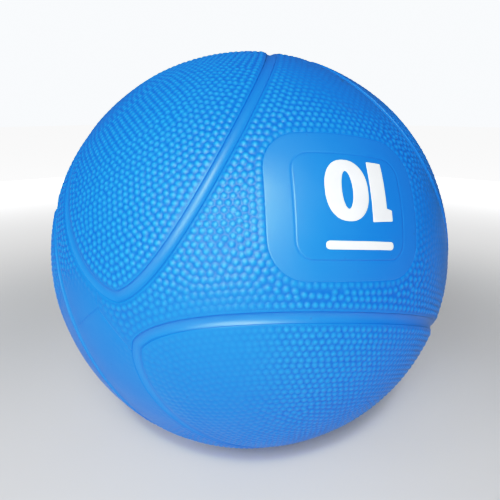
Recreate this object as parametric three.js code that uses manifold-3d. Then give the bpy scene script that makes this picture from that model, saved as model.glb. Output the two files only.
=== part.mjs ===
// A moulded rubber medicine ball, taken apart into its separate pieces.
// Millimetres, +Z up, the origin at the ball's centre, the label towards the front (-Y), the valve on +X.
// From the outside in: an oval-and-field cover with channel strips, a weighted carcass, a winding, a bladder.

import * as THREE from "three";
import { mergeVertices } from "three/addons/utils/BufferGeometryUtils.js";
import Module from "manifold-3d";

const wasm = await Module();
wasm.setup();

// --- Driving dimensions -------------------------------------------------------------------------------

const BALL_RADIUS = 114.5; // a 229 mm (9 inch) ball
const COVER_THICKNESS = 4;
const GAP = 0.3; // clearance between neighbouring pieces
const FACET_SAG = 0.7; // how far the cover's flat facets dip below their corners

const OVAL_HALF_LENGTH = 50.2; // degrees of arc, to the field's edge
const OVAL_HALF_WIDTH = 27.2;
const OVAL_ROUNDNESS = 1.26; // 1 is an ellipse, and more makes the tips narrower
const OVAL_POINTS = 32;
const CHANNEL_WIDTH = 4.6;
const CHANNEL_DEPTH = 1.2;

const CARCASS_CAVITY_RADIUS = 92;
const WINDING_THICKNESS = 0.6;
const BLADDER_THICKNESS = 2;

const COVER_DETAIL = 5; // subdivisions of an icosahedron's edges, less one
const CARCASS_DETAIL = 5;
const INNER_DETAIL = 3;

const LABEL = { azimuth: -23, elevation: 24, turn: -7 };
const LABEL_PATCH = { x: -0.4, y: 0.7, width: 74.8, height: 63.4, corner: 17, sunk: 0.9 };
const LABEL_PLATE = { x: 0.5, y: 0, width: 53, height: 45, corner: 8, thickness: 0.2 };
const PRINT_THICKNESS = 0.2;
const LABEL_GRID = { columns: 7, rows: 6, spare: 1.1 }; // the label's facets, and how far they reach past it

// The print stands on its head. x and y are arcs from the label's middle.
const DIGIT_HEIGHT = 26.5;
const DIGIT_MIDDLE_Y = 6.5;
const ZERO = { x: -2.3, halfWidth: 10.3, holeHalfWidth: 2.7, stroke: 5, bulge: 0.88, points: 20 };
const ONE = { left: 9.4, right: 17.4, flagLeft: 16, flagRight: 20.3, flagHeight: 5.7 };
const BAR = { x: 3.5, y: -16.5, width: 34, height: 3.4, corner: 1.6 };

const VALVE_NECK_RADIUS = 6;
const VALVE_FLANGE_RADIUS = 12;
const VALVE_FLANGE_THICKNESS = 2;
const VALVE_FLANGE_DEPTH = 28; // from the ball's surface down to the flange's outer face
const VALVE_FACE_DEPTH = 0.3;
const CORE_HEAD_RADIUS = 4.2;
const CORE_HEAD_THICKNESS = 1.5;
const CORE_STEM_RADIUS = 2.5;
const CORE_LENGTH = 14;
const VALVE_SEGMENTS = 16;

const CUTTER_REACH = { from: 0.5 * BALL_RADIUS, to: 1.6 * BALL_RADIUS }; // past both faces of the cover
const WEDGE_REACH = 20 * BALL_RADIUS; // far enough out that a wedge's flat end stays off the ball
const CORNER_STEPS = 3;

// The ovals: where each centre points (azimuth from the front, positive to the right) and how far the
// long axis turns up from level. All in degrees.
const OVALS = {
  left_top: { azimuth: -88, elevation: 52, turn: 105 },
  front_low: { azimuth: -25, elevation: -26, turn: 165 },
  right_top: { azimuth: 44, elevation: 26, turn: 94 },
  left_low: { azimuth: -118, elevation: -31, turn: 91 },
  rear_top: { azimuth: 161, elevation: 25, turn: 131 },
  right_low: { azimuth: 112, elevation: -52, turn: 53 },
};

// The four places where three ovals' tips meet, and where the field's butt seams run together.
const SEAM_POINTS = {
  left: { azimuth: -83, elevation: 0 },
  top: { azimuth: 101, elevation: 68 },
  front: { azimuth: 44, elevation: -37 },
  rear: { azimuth: -178, elevation: -37 },
};

// Each field panel lies between three of those places, listed clockwise seen from outside.
const FIELDS = {
  front: ["left", "top", "front"],
  right: ["top", "rear", "front"],
  rear_left: ["left", "rear", "top"],
  under: ["left", "front", "rear"],
};

// --- Materials ----------------------------------------------------------------------------------------

const AZURE = 0x3fa9f7;
const rubber = (color, roughness) => new THREE.MeshStandardMaterial({ color, roughness, metalness: 0 });

const MATERIALS = {
  pebbled: () => rubber(AZURE, 0.55),
  channel: () => rubber(0x3a9fec, 0.45),
  label: () => rubber(0x46aef9, 0.4),
  print: () => rubber(0xf2f6fa, 0.45),
  carcass: () => rubber(0x26282b, 0.8),
  winding: () => rubber(0xd9d4c4, 0.9),
  bladder: () => rubber(0x1b1b1d, 0.6),
  valve: () => rubber(0x222326, 0.5),
};

// --- Directions on the ball ---------------------------------------------------------------------------

const radians = THREE.MathUtils.degToRad;

function direction({ azimuth, elevation }) {
  const a = radians(azimuth);
  const e = radians(elevation);
  return new THREE.Vector3(Math.cos(e) * Math.sin(a), -Math.cos(e) * Math.cos(a), Math.sin(e));
}

// A local frame on the ball's surface: out along the centre, along the turned level line, and across it.
function surfaceFrame(place) {
  const out = direction(place);
  const east = new THREE.Vector3(-out.y, out.x, 0).normalize();
  const along = east.applyAxisAngle(out, radians(place.turn));
  const across = out.clone().cross(along);
  return { out, along, across };
}

// The unit vector at arc s along and arc t across from a frame's centre, both in radians.
function onSphere(frame, s, t) {
  return frame.out
    .clone()
    .multiplyScalar(Math.cos(s) * Math.cos(t))
    .addScaledVector(frame.along, Math.sin(s) * Math.cos(t))
    .addScaledVector(frame.across, Math.sin(t));
}

// An oval's outline as unit vectors, moved inwards by a distance in millimetres.
function ovalOutline(frame, inset) {
  const point = (u) => {
    const width = Math.sign(Math.cos(u)) * Math.abs(Math.cos(u)) ** OVAL_ROUNDNESS;
    return onSphere(frame, radians(OVAL_HALF_LENGTH) * Math.sin(u), radians(OVAL_HALF_WIDTH) * width);
  };
  const step = 0.01;
  return Array.from({ length: OVAL_POINTS }, (_, i) => {
    const u = (-2 * Math.PI * (i + 0.5)) / OVAL_POINTS;
    const tangent = point(u - step).sub(point(u + step));
    const inwards = point(u).cross(tangent).normalize();
    return point(u).addScaledVector(inwards, inset / BALL_RADIUS).normalize();
  });
}

// --- Solids -------------------------------------------------------------------------------------------

function solidFromMesh(positions, triangles) {
  const mesh = new wasm.Mesh({
    numProp: 3,
    vertProperties: new Float32Array(positions),
    triVerts: new Uint32Array(triangles),
  });
  return new wasm.Manifold(mesh);
}

function solidFromGeometry(geometry) {
  geometry.deleteAttribute("normal");
  geometry.deleteAttribute("uv");
  const merged = mergeVertices(geometry, 1e-3);
  return solidFromMesh(merged.attributes.position.array, merged.index.array);
}

function geometryFromSolid(solid) {
  const mesh = solid.getMesh();
  const geometry = new THREE.BufferGeometry();
  geometry.setAttribute("position", new THREE.BufferAttribute(mesh.vertProperties, 3));
  geometry.setIndex(new THREE.BufferAttribute(mesh.triVerts, 1));
  geometry.computeVertexNormals();
  return geometry;
}

const sphere = (radius, detail) => solidFromGeometry(new THREE.IcosahedronGeometry(radius, detail));

const shell = (outer, inner, detail) => sphere(outer, detail).subtract(sphere(inner, detail));

// Faces between neighbouring rows of points, where each row is a closed loop of the same length.
function bandFaces(lower, upper, count) {
  const faces = [];
  for (let i = 0; i < count; i += 1) {
    const j = (i + 1) % count;
    faces.push(lower + i, lower + j, upper + j, lower + i, upper + j, upper + i);
  }
  return faces;
}

// A radial block: everything between two radii inside an outline of unit vectors that run
// anticlockwise seen from outside. Its caps fan out from the outline's middle.
function radialBlock(outline, middle, inner, outer) {
  const count = outline.length;
  const points = [
    ...outline.map((p) => p.clone().multiplyScalar(inner)),
    ...outline.map((p) => p.clone().multiplyScalar(outer)),
    middle.clone().multiplyScalar(inner),
    middle.clone().multiplyScalar(outer),
  ];
  const faces = bandFaces(0, count, count);
  for (let i = 0; i < count; i += 1) {
    const j = (i + 1) % count;
    faces.push(j, i, 2 * count, count + i, count + j, 2 * count + 1);
  }
  return solidFromMesh(points.flatMap((p) => p.toArray()), faces);
}

const radialCutter = (outline, middle) => radialBlock(outline, middle, CUTTER_REACH.from, CUTTER_REACH.to);

// A closed ring between an outer and an inner outline, from one radius to another.
function radialRing(outerOutline, innerOutline, inner, outer) {
  const loops = [
    outerOutline.map((p) => p.clone().multiplyScalar(inner)),
    outerOutline.map((p) => p.clone().multiplyScalar(outer)),
    innerOutline.map((p) => p.clone().multiplyScalar(outer)),
    innerOutline.map((p) => p.clone().multiplyScalar(inner)),
  ];
  const count = outerOutline.length;
  const faces = loops.flatMap((_, k) => bandFaces(k * count, ((k + 1) % loops.length) * count, count));
  return solidFromMesh(loops.flat().flatMap((p) => p.toArray()), faces);
}

// A straight hole along +X, for the valve.
function valveBore(radius) {
  const cylinder = new THREE.CylinderGeometry(radius, radius, BALL_RADIUS, VALVE_SEGMENTS);
  cylinder.rotateZ(-Math.PI / 2).translate(BALL_RADIUS, 0, 0);
  return solidFromGeometry(cylinder);
}

// --- Cover --------------------------------------------------------------------------------------------

const COVER_INNER = BALL_RADIUS - COVER_THICKNESS;
const CHANNEL_RADIUS = BALL_RADIUS - CHANNEL_DEPTH;
const LABEL_PATCH_RADIUS = BALL_RADIUS - LABEL_PATCH.sunk;

const ball = new THREE.Group();

function addPiece(name, solid, material) {
  const mesh = new THREE.Mesh(geometryFromSolid(solid), material());
  mesh.name = name;
  ball.add(mesh);
}

const coverShell = shell(BALL_RADIUS, COVER_INNER, COVER_DETAIL);

function addOvals() {
  for (const [name, place] of Object.entries(OVALS)) {
    const frame = surfaceFrame(place);
    const panelEdge = ovalOutline(frame, CHANNEL_WIDTH + GAP);
    const panel = coverShell.intersect(radialCutter(panelEdge, frame.out));
    addPiece(`oval_panel_${name}`, panel, MATERIALS.pebbled);
    const strip = radialRing(
      ovalOutline(frame, GAP),
      ovalOutline(frame, CHANNEL_WIDTH),
      COVER_INNER,
      CHANNEL_RADIUS,
    );
    addPiece(`channel_strip_${name}`, strip, MATERIALS.channel);
  }
}

// The wedge of the ball between three seam points, drawn in by half a gap on each side.
function fieldWedge(corners) {
  const points = corners.map((name) => direction(SEAM_POINTS[name]));
  const middle = points.reduce((sum, p) => sum.add(p), new THREE.Vector3()).normalize();
  const shift = middle.multiplyScalar(GAP);
  const reach = points.map((p) => p.clone().multiplyScalar(WEDGE_REACH).add(shift));
  const vertices = [shift, ...reach].flatMap((p) => p.toArray());
  return solidFromMesh(vertices, [0, 1, 2, 0, 2, 3, 0, 3, 1, 1, 3, 2]);
}

function addFields(patchCutter) {
  const ovalCutters = Object.values(OVALS).map((place) => {
    const frame = surfaceFrame(place);
    return radialCutter(ovalOutline(frame, 0), frame.out);
  });
  for (const [name, corners] of Object.entries(FIELDS)) {
    let panel = coverShell.intersect(fieldWedge(corners));
    for (const cutter of ovalCutters) {
      panel = panel.subtract(cutter);
    }
    if (name === "front") {
      panel = panel.subtract(patchCutter);
    }
    if (name === "right") {
      panel = panel.subtract(valveBore(VALVE_NECK_RADIUS + GAP));
    }
    addPiece(`field_panel_${name}`, panel, MATERIALS.pebbled);
  }
}

// --- Label --------------------------------------------------------------------------------------------

const labelFrame = surfaceFrame(LABEL);

// Label drawings are flat shapes in millimetres; this wraps them onto the ball.
const wrapped = (points) =>
  points.map((p) => onSphere(labelFrame, p.x / BALL_RADIUS, p.y / BALL_RADIUS));

function roundedRectangle({ x, y, width, height, corner }, grow = 0) {
  const halfWidth = width / 2 + grow;
  const halfHeight = height / 2 + grow;
  const radius = corner + grow;
  const shape = new THREE.Shape();
  const quarter = Math.PI / 2;
  shape.absarc(x + halfWidth - radius, y + halfHeight - radius, radius, 0, quarter);
  shape.absarc(x - halfWidth + radius, y + halfHeight - radius, radius, quarter, 2 * quarter);
  shape.absarc(x - halfWidth + radius, y - halfHeight + radius, radius, 2 * quarter, 3 * quarter);
  shape.absarc(x + halfWidth - radius, y - halfHeight + radius, radius, 3 * quarter, 4 * quarter);
  return shape.extractPoints(CORNER_STEPS).shape;
}

// The label's area of a thin curved sheet, gridded so that every layer of the label has parallel facets.
function labelSheet(inner, outer) {
  const { columns, rows, spare } = LABEL_GRID;
  const point = (i, j, radius) => {
    const x = LABEL_PATCH.x + LABEL_PATCH.width * spare * (i / columns - 0.5);
    const y = LABEL_PATCH.y + LABEL_PATCH.height * spare * (j / rows - 0.5);
    return onSphere(labelFrame, x / BALL_RADIUS, y / BALL_RADIUS).multiplyScalar(radius);
  };
  const positions = [];
  for (const radius of [inner, outer]) {
    for (let j = 0; j <= rows; j += 1) {
      for (let i = 0; i <= columns; i += 1) {
        positions.push(...point(i, j, radius).toArray());
      }
    }
  }
  const layer = (columns + 1) * (rows + 1);
  const at = (i, j) => j * (columns + 1) + i;
  const faces = [];
  for (let j = 0; j < rows; j += 1) {
    for (let i = 0; i < columns; i += 1) {
      const [a, b, c, d] = [at(i, j), at(i + 1, j), at(i + 1, j + 1), at(i, j + 1)];
      faces.push(a, c, b, a, d, c);
      faces.push(layer + a, layer + b, layer + c, layer + a, layer + c, layer + d);
    }
  }
  const acrossColumns = Array.from({ length: columns }, (_, i) => i);
  const acrossRows = Array.from({ length: rows }, (_, j) => j);
  const rim = [
    ...acrossColumns.map((i) => at(i, 0)),
    ...acrossRows.map((j) => at(columns, j)),
    ...acrossColumns.map((i) => at(columns - i, rows)),
    ...acrossRows.map((j) => at(0, rows - j)),
  ];
  rim.forEach((a, k) => {
    const b = rim[(k + 1) % rim.length];
    faces.push(a, b, layer + b, a, layer + b, layer + a);
  });
  return solidFromMesh(positions, faces);
}

function labelCutter(points) {
  const middle = points.reduce((sum, p) => sum.add(p), new THREE.Vector2()).divideScalar(points.length);
  return radialCutter(wrapped(points), wrapped([middle])[0]);
}

// The digit 0: an upright oval ring, which needs a hole cut through it.
function zeroSolid(sheet) {
  const swell = (v) => Math.sign(v) * Math.abs(v) ** ZERO.bulge;
  const oval = (halfWidth, halfHeight) =>
    Array.from({ length: ZERO.points }, (_, i) => {
      const u = (2 * Math.PI * i) / ZERO.points;
      const x = ZERO.x + halfWidth * swell(Math.cos(u));
      const y = DIGIT_MIDDLE_Y + halfHeight * swell(Math.sin(u));
      return new THREE.Vector2(x, y);
    });
  const outside = oval(ZERO.halfWidth, DIGIT_HEIGHT / 2);
  const hole = oval(ZERO.holeHalfWidth, DIGIT_HEIGHT / 2 - ZERO.stroke);
  return sheet.intersect(labelCutter(outside)).subtract(labelCutter(hole));
}

function boxCutter(left, right, low, high) {
  const corners = [[left, low], [right, low], [right, high], [left, high]];
  return labelCutter(corners.map(([x, y]) => new THREE.Vector2(x, y)));
}

// The digit 1 on its head: a stem with its flag at the lower outer corner.
function oneSolid(sheet) {
  const low = DIGIT_MIDDLE_Y - DIGIT_HEIGHT / 2;
  const stem = boxCutter(ONE.left, ONE.right, low, low + DIGIT_HEIGHT);
  const flag = boxCutter(ONE.flagLeft, ONE.flagRight, low, low + ONE.flagHeight);
  return sheet.intersect(stem.add(flag));
}

function addLabel() {
  const patch = labelSheet(COVER_INNER, LABEL_PATCH_RADIUS);
  const patchEdge = labelCutter(roundedRectangle(LABEL_PATCH));
  addPiece("label_patch", patch.intersect(patchEdge), MATERIALS.label);

  const plateInner = LABEL_PATCH_RADIUS + GAP;
  const plateOuter = plateInner + LABEL_PLATE.thickness;
  const plate = labelSheet(plateInner, plateOuter);
  addPiece("label_plate", plate.intersect(labelCutter(roundedRectangle(LABEL_PLATE))), MATERIALS.label);

  const print = labelSheet(plateOuter + GAP, plateOuter + GAP + PRINT_THICKNESS);
  addPiece("print_digit_one", oneSolid(print), MATERIALS.print);
  addPiece("print_digit_zero", zeroSolid(print), MATERIALS.print);
  addPiece("print_bar", print.intersect(labelCutter(roundedRectangle(BAR))), MATERIALS.print);
}

// --- Inside -------------------------------------------------------------------------------------------

function addInnerLayers() {
  const bore = valveBore(VALVE_NECK_RADIUS + GAP);
  const carcass = sphere(COVER_INNER - FACET_SAG - GAP, CARCASS_DETAIL)
    .subtract(sphere(CARCASS_CAVITY_RADIUS, INNER_DETAIL))
    .subtract(bore);
  addPiece("weighted_carcass", carcass, MATERIALS.carcass);

  const windingOuter = CARCASS_CAVITY_RADIUS - GAP;
  const windingInner = windingOuter - WINDING_THICKNESS;
  const winding = shell(windingOuter, windingInner, INNER_DETAIL).subtract(bore);
  addPiece("nylon_winding", winding, MATERIALS.winding);

  const bladderOuter = windingInner - GAP;
  const bladder = shell(bladderOuter, bladderOuter - BLADDER_THICKNESS, INNER_DETAIL).subtract(bore);
  addPiece("butyl_bladder", bladder, MATERIALS.bladder);
}

// A body turned about the X axis from [radius, x] corners, listed from the inside of the ball outwards.
function turned(profile) {
  const points = profile.map(([radius, x]) => new THREE.Vector2(radius, x));
  const lathe = new THREE.LatheGeometry(points, VALVE_SEGMENTS);
  lathe.rotateZ(-Math.PI / 2);
  return solidFromGeometry(lathe);
}

function addValve() {
  const face = BALL_RADIUS - VALVE_FACE_DEPTH;
  const flange = BALL_RADIUS - VALVE_FLANGE_DEPTH;
  const seat = face - CORE_HEAD_THICKNESS - GAP;
  const bottom = face - CORE_LENGTH - GAP;
  const housing = turned([
    [0, flange - VALVE_FLANGE_THICKNESS],
    [VALVE_FLANGE_RADIUS, flange - VALVE_FLANGE_THICKNESS],
    [VALVE_FLANGE_RADIUS, flange],
    [VALVE_NECK_RADIUS, flange],
    [VALVE_NECK_RADIUS, face],
    [CORE_HEAD_RADIUS + GAP, face],
    [CORE_HEAD_RADIUS + GAP, seat],
    [CORE_STEM_RADIUS + GAP, seat],
    [CORE_STEM_RADIUS + GAP, bottom],
    [0, bottom],
  ]);
  addPiece("valve_housing", housing, MATERIALS.valve);
  const core = turned([
    [0, face - CORE_LENGTH],
    [CORE_STEM_RADIUS, face - CORE_LENGTH],
    [CORE_STEM_RADIUS, face - CORE_HEAD_THICKNESS],
    [CORE_HEAD_RADIUS, face - CORE_HEAD_THICKNESS],
    [CORE_HEAD_RADIUS, face],
    [0, face],
  ]);
  addPiece("valve_core", core, MATERIALS.valve);
}

// --- The whole ball -----------------------------------------------------------------------------------

addOvals();
addFields(labelCutter(roundedRectangle(LABEL_PATCH, GAP)));
addLabel();
addInnerLayers();
addValve();

export default ball;
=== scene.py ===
import math

import bpy
import numpy as np
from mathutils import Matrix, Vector
from mathutils.geometry import delaunay_2d_cdt
from mathutils.kdtree import KDTree


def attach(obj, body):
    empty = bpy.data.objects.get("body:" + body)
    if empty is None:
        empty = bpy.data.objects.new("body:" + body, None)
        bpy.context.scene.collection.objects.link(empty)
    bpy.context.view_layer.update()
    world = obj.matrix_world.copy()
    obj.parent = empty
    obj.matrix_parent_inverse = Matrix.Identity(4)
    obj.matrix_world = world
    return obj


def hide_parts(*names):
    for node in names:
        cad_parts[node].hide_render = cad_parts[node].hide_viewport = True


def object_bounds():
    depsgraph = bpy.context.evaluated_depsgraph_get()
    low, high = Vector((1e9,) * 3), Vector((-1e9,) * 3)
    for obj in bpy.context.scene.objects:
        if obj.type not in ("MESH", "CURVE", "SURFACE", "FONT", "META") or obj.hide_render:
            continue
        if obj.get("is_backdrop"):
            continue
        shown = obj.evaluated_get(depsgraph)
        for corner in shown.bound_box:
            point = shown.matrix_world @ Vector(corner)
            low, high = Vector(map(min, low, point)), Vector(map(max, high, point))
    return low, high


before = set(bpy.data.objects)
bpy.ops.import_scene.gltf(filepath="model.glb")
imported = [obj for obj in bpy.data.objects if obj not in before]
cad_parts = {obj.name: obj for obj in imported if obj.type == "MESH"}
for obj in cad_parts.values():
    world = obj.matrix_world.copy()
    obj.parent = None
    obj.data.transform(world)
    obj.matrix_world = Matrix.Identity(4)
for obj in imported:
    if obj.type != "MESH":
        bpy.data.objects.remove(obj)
cad_low, cad_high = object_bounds()

# A moulded rubber medicine ball. Lengths are millimetres until a mesh is made, and angles are degrees.
# Most points are unit vectors, a place on the ball, which are scaled by a radius at the end.

# --- Sizes and places, as in the CAD model ---

MM = 0.001
BALL_RADIUS = (cad_high.z - cad_low.z) / 2 / MM
COVER_THICKNESS = 4
COVER_INNER = BALL_RADIUS - COVER_THICKNESS
CHANNEL_WIDTH = 4.6

OVAL_HALF_LENGTH = 50.2
OVAL_HALF_WIDTH = 27.2
OVAL_ROUNDNESS = 1.26  # 1 is an ellipse, and more makes the tips narrower

# Where each oval's centre points (azimuth, elevation), and how far its long axis turns up from level.
OVALS = {
    "left_top": (-88, 52, 105),
    "front_low": (-25, -26, 165),
    "right_top": (44, 26, 94),
    "left_low": (-118, -31, 91),
    "rear_top": (161, 25, 131),
    "right_low": (112, -52, 53),
}
SEAM_POINTS = {"left": (-83, 0), "top": (101, 68), "front": (44, -37), "rear": (-178, -37)}
FIELDS = {
    "front": ("left", "top", "front"),
    "right": ("top", "rear", "front"),
    "rear_left": ("left", "rear", "top"),
    "under": ("left", "front", "rear"),
}
LABEL_PLACE = (-23, 24, -7)
LABEL_PATCH = {"x": -0.4, "y": 0.7, "width": 74.8, "height": 63.4, "corner": 17}
LABEL_PLATE = {"x": 0.5, "y": 0, "width": 53, "height": 45, "corner": 8}
BAR = {"x": 3.5, "y": -16.5, "width": 34, "height": 3.4, "corner": 1.6}
DIGIT_HEIGHT = 26.5
DIGIT_MIDDLE = 6.5
ZERO_X = -2.3
ZERO_HALF_WIDTH = 10.3
ZERO_HOLE_HALF_WIDTH = 2.7
ZERO_STROKE = 5
ZERO_BULGE = 0.88  # 1 is an ellipse, and less makes it squarer
ONE_LEFT, ONE_RIGHT = 9.4, 17.4
FLAG_RIGHT = 20.3
FLAG_LOW, FLAG_HIGH = 0.9, 5.6  # its outer corners, up from the digit's lower edge
FLAG_RISE = 0.5  # how much higher the flag's top edge meets the stem
VALVE_PLACE = (90, 0, 0)
VALVE_FACE_DEPTH = 0.3
VALVE_NECK_RADIUS = 6
VALVE_FLANGE_RADIUS = 12
VALVE_FLANGE_THICKNESS = 2
VALVE_FLANGE_DEPTH = 28
CORE_HEAD_RADIUS = 4.2
CORE_HEAD_THICKNESS = 1.5
CORE_STEM_RADIUS = 2.5
CORE_LENGTH = 14
CORE_GAP = 0.3  # under the valve core's head and its end

# --- Sizes that only show on the surface ---

OVAL_SKIN = BALL_RADIUS - 0.64  # the smooth surface that the pebbles stand on
FIELD_SKIN = BALL_RADIUS - 0.8
LIP = 0.35  # how far a moulded edge is rounded
SEAM_LIP = 0.1
FLUSH_LIP = 0.03
FLAT = 0.6  # the flat stretch behind a rounded edge
JOINT_GAP = 0.1  # between a panel and its neighbour
SEAM_GAP = 0.04
FLUSH_GAP = 0.005
GROOVE_EDGE = 0.25  # how far a groove's edges lie under the field's skin
GROOVE_DEPTH = 0.8  # from the groove's edges down to its floor
GROOVE_ROUNDNESS = 2.2  # 2 is a parabola, and more makes the floor flatter
GROOVE_POINTS = 13
SEAM_OVERRUN = 3  # how far a seam's line runs on past its ends
SEAM_STEP = 1.5
BORDER_STEP = 1.0
LEAST_ROOM = 0.004  # points nearer to a border than this are left out
PLATE_RISE = 0.15
PLATE_LIP = 0.1
PLATE_LINE_DEPTH = 0.12
PRINT_RISE = 0.06
PRINT_SUNK = 0.02  # how far the print reaches into the plate
PRINT_LIP = 0.03
PRINT_STEP = 0.45

PEBBLE_PITCH = 3.2  # along a row
PEBBLE_ROW = 2.85  # from one row to the next
PEBBLE_RADIUS = 1.68
PEBBLE_HEIGHT = 0.54
PEBBLE_RINGS = ((0.36, 6), (0.7, 8), (1.0, 11))  # each ring's share of the radius, and its points
PEBBLE_SHARES = (0.88, 1.08)  # the least and the most that chance makes of a pebble's height
PEBBLE_STRAY = 0.09  # how far chance moves a pebble
PEBBLE_MEETING = 0.97  # how much of the way to half-way two neighbours reach
MIDDLE_HEIGHT = 0.4  # the share of a pebble's height where the rubber has its plain tone, with painted shade below it and a painted highlight above
OVAL_MARGIN = 2.6  # from a panel's edge to the middles of its first pebbles
FIELD_MARGIN = 2.8
PATCH_MARGIN = 1.6
ROWS_PER_WALK = 3  # after so many rows their pebbles are spaced afresh
FIELD_ROWS = 14
ROW_APART = 0.84 * PEBBLE_PITCH  # the least distance between pebbles where rows meet
FILL_APART = 0.86 * PEBBLE_PITCH  # and round a pebble that fills a hole between them
EASINGS = 6  # how many times the pebbles settle into the gaps between them
EASING_REACH = 1.3 * PEBBLE_PITCH
EASING_STEP = 0.3

# Inside these ovals the pebbles run in rings about a place (degrees along and across) off to one side.
RINGED_OVALS = ("left_top", "left_low", "rear_top")
RING_MIDDLE = (12, 19)
BORDER_ROWS = 2  # the rows that still follow the border of such an oval

# Where the moulding lost its relief: azimuth, elevation, the share of height left, and how far out
# the loss is whole and where it ends.
SOFT_PLACES = (
    (-90, -6, 0.0, 14, 34),
    *((*SEAM_POINTS[name], 0.0, 12, 34) for name in ("top", "front", "rear")),
    (-92, -22, 0.0, 26, 52),
    (-62, -16, 0.35, 22, 60),
    (-50, 3, 0.6, 8, 34),
    (14, 14, 0.3, 20, 46),
    (2, 60, 0.35, 20, 46),
    (-125, 45, 0.4, 15, 42),
    (133, 76, 0.4, 12, 42),
    (-22, -58, 0.3, 15, 45),
)
PATCH_RELIEF = 0.65  # the share of height left beside the label's patch
PATCH_FADE = (1, 6)  # and how far from it that starts and ends

# --- Camera ---

CAMERA_AZIMUTH = -47
CAMERA_ELEVATION = 16
CAMERA_DISTANCE = 2.65 * BALL_RADIUS
BALL_SHARE_OF_FRAME = 0.798  # the ball's outline across the picture's width
SENSOR_WIDTH = 36

AMBIENT = 0.1  # the studio's light from all round
BACKDROP = 1.45  # and how bright it looks behind the ball

# How light shows in the picture, between none and the white level: bright colours are held back.
WHITE_LEVEL = 1.5
RESPONSE = ((0.2, 0.2), (0.36, 0.37), (0.65, 0.67), (1.0, 0.81), (1.2, 0.88))

random = np.random.default_rng(7)


# --- Directions on the ball ---


def unit(vectors):
    return vectors / np.linalg.norm(vectors, axis=-1, keepdims=True)


def direction(azimuth, elevation):
    a, e = math.radians(azimuth), math.radians(elevation)
    return np.array([math.cos(e) * math.sin(a), -math.cos(e) * math.cos(a), math.sin(e)])


def surface_frame(azimuth, elevation, turn):
    """Rows: out through the place, along its turned level line, and across it."""
    out = direction(azimuth, elevation)
    east = unit(np.array([-out[1], out[0], 0.0]))
    north = np.cross(out, east)
    t = math.radians(turn)
    along = east * math.cos(t) + north * math.sin(t)
    return np.array([out, along, np.cross(out, along)])


def on_sphere(axes, s, t):
    """Unit vectors at arcs s along and t across, in radians."""
    s, t = np.asarray(s)[..., None], np.asarray(t)[..., None]
    return axes[0] * np.cos(s) * np.cos(t) + axes[1] * np.sin(s) * np.cos(t) + axes[2] * np.sin(t)


def evenly(points, spacing, phase=0.0, paired=False):
    """A closed line of unit vectors, walked again at even steps of about the spacing. The phase moves
    the steps along, and paired makes their number even."""
    closed = np.vstack([points, points[:1]])
    walked = np.concatenate([[0], np.cumsum(np.linalg.norm(np.diff(closed, axis=0), axis=1))])
    length = walked[-1] * BALL_RADIUS
    count = 2 * max(2, round(length / spacing / 2)) if paired else max(3, round(length / spacing))
    at = (np.arange(count) + phase) / count * walked[-1]
    return unit(np.stack([np.interp(at, walked, closed[:, k]) for k in range(3)], axis=1))


class Outline:
    """A closed line on the ball, anticlockwise seen from outside."""

    def __init__(self, points, spacing=BORDER_STEP, paired=False):
        self.points = evenly(points, spacing, paired=paired)
        ahead, behind = np.roll(self.points, -1, 0), np.roll(self.points, 1, 0)
        self.tangents = unit(ahead - behind)
        self.inwards = unit(np.cross(self.points, self.tangents))
        step = np.linalg.norm(ahead - self.points, axis=1)
        self.bends = np.einsum("ij,ij->i", ahead + behind - 2 * self.points, self.inwards) / step**2

    def moved(self, distance):
        """The line's points moved inwards by a distance."""
        arc = distance / BALL_RADIUS
        return self.points * math.cos(arc) + self.inwards * math.sin(arc)

    def depth(self, points):
        """How far inside the line each point lies, and below zero outside it."""
        depths = []
        for part in np.array_split(points, max(1, len(points) // 20000)):
            nearest = np.argmax(part.astype(np.float32) @ self.points.T.astype(np.float32), axis=1)
            inwards = np.einsum("ij,ij->i", part, self.inwards[nearest])
            sideways = np.einsum("ij,ij->i", part, self.tangents[nearest])
            bend = self.bends[nearest] * sideways**2 / 2
            depths.append(np.arcsin(np.clip(inwards, -1, 1)) - bend)
        return np.concatenate(depths) * BALL_RADIUS


def oval_outline(place):
    u = np.linspace(0, -2 * math.pi, 2000, endpoint=False)
    width = np.sign(np.cos(u)) * np.abs(np.cos(u)) ** OVAL_ROUNDNESS
    s = math.radians(OVAL_HALF_LENGTH) * np.sin(u)
    t = math.radians(OVAL_HALF_WIDTH) * width
    return Outline(on_sphere(surface_frame(*place), s, t))


def label_points(x, y):
    return on_sphere(LABEL_FRAME, np.asarray(x) / BALL_RADIUS, np.asarray(y) / BALL_RADIUS)


def rounded_corners(corners, radius, steps=8):
    """A closed flat outline, anticlockwise, with each of its corners turned on a small arc."""
    points = []
    for k, corner in enumerate(corners):
        corner = np.array(corner, float)
        before = unit(np.array(corners[k - 1], float) - corner)
        after = unit(np.array(corners[(k + 1) % len(corners)], float) - corner)
        half = math.acos(np.clip(before @ after, -1, 1)) / 2
        centre = corner + unit(before + after) * radius / math.sin(half)
        reach = radius / math.tan(half)
        start, end = corner + before * reach - centre, corner + after * reach - centre
        a = math.atan2(start[1], start[0])
        sweep = (math.atan2(end[1], end[0]) - a + math.pi) % (2 * math.pi) - math.pi
        for i in range(steps + 1):
            angle = a + sweep * i / steps
            points.append(centre + radius * np.array([math.cos(angle), math.sin(angle)]))
    return np.array(points)


def rounded_rectangle(x, y, width, height, corner, spacing=BORDER_STEP):
    left, right, low, high = x - width / 2, x + width / 2, y - height / 2, y + height / 2
    flat = rounded_corners([(left, low), (right, low), (right, high), (left, high)], corner)
    return Outline(label_points(flat[:, 0], flat[:, 1]), spacing)


def circle_outline(place, radius, spacing=0.7):
    u = np.linspace(0, 2 * math.pi, 200, endpoint=False)
    arc = radius / BALL_RADIUS
    return Outline(on_sphere(surface_frame(*place), arc * np.cos(u), arc * np.sin(u)), spacing)


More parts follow.
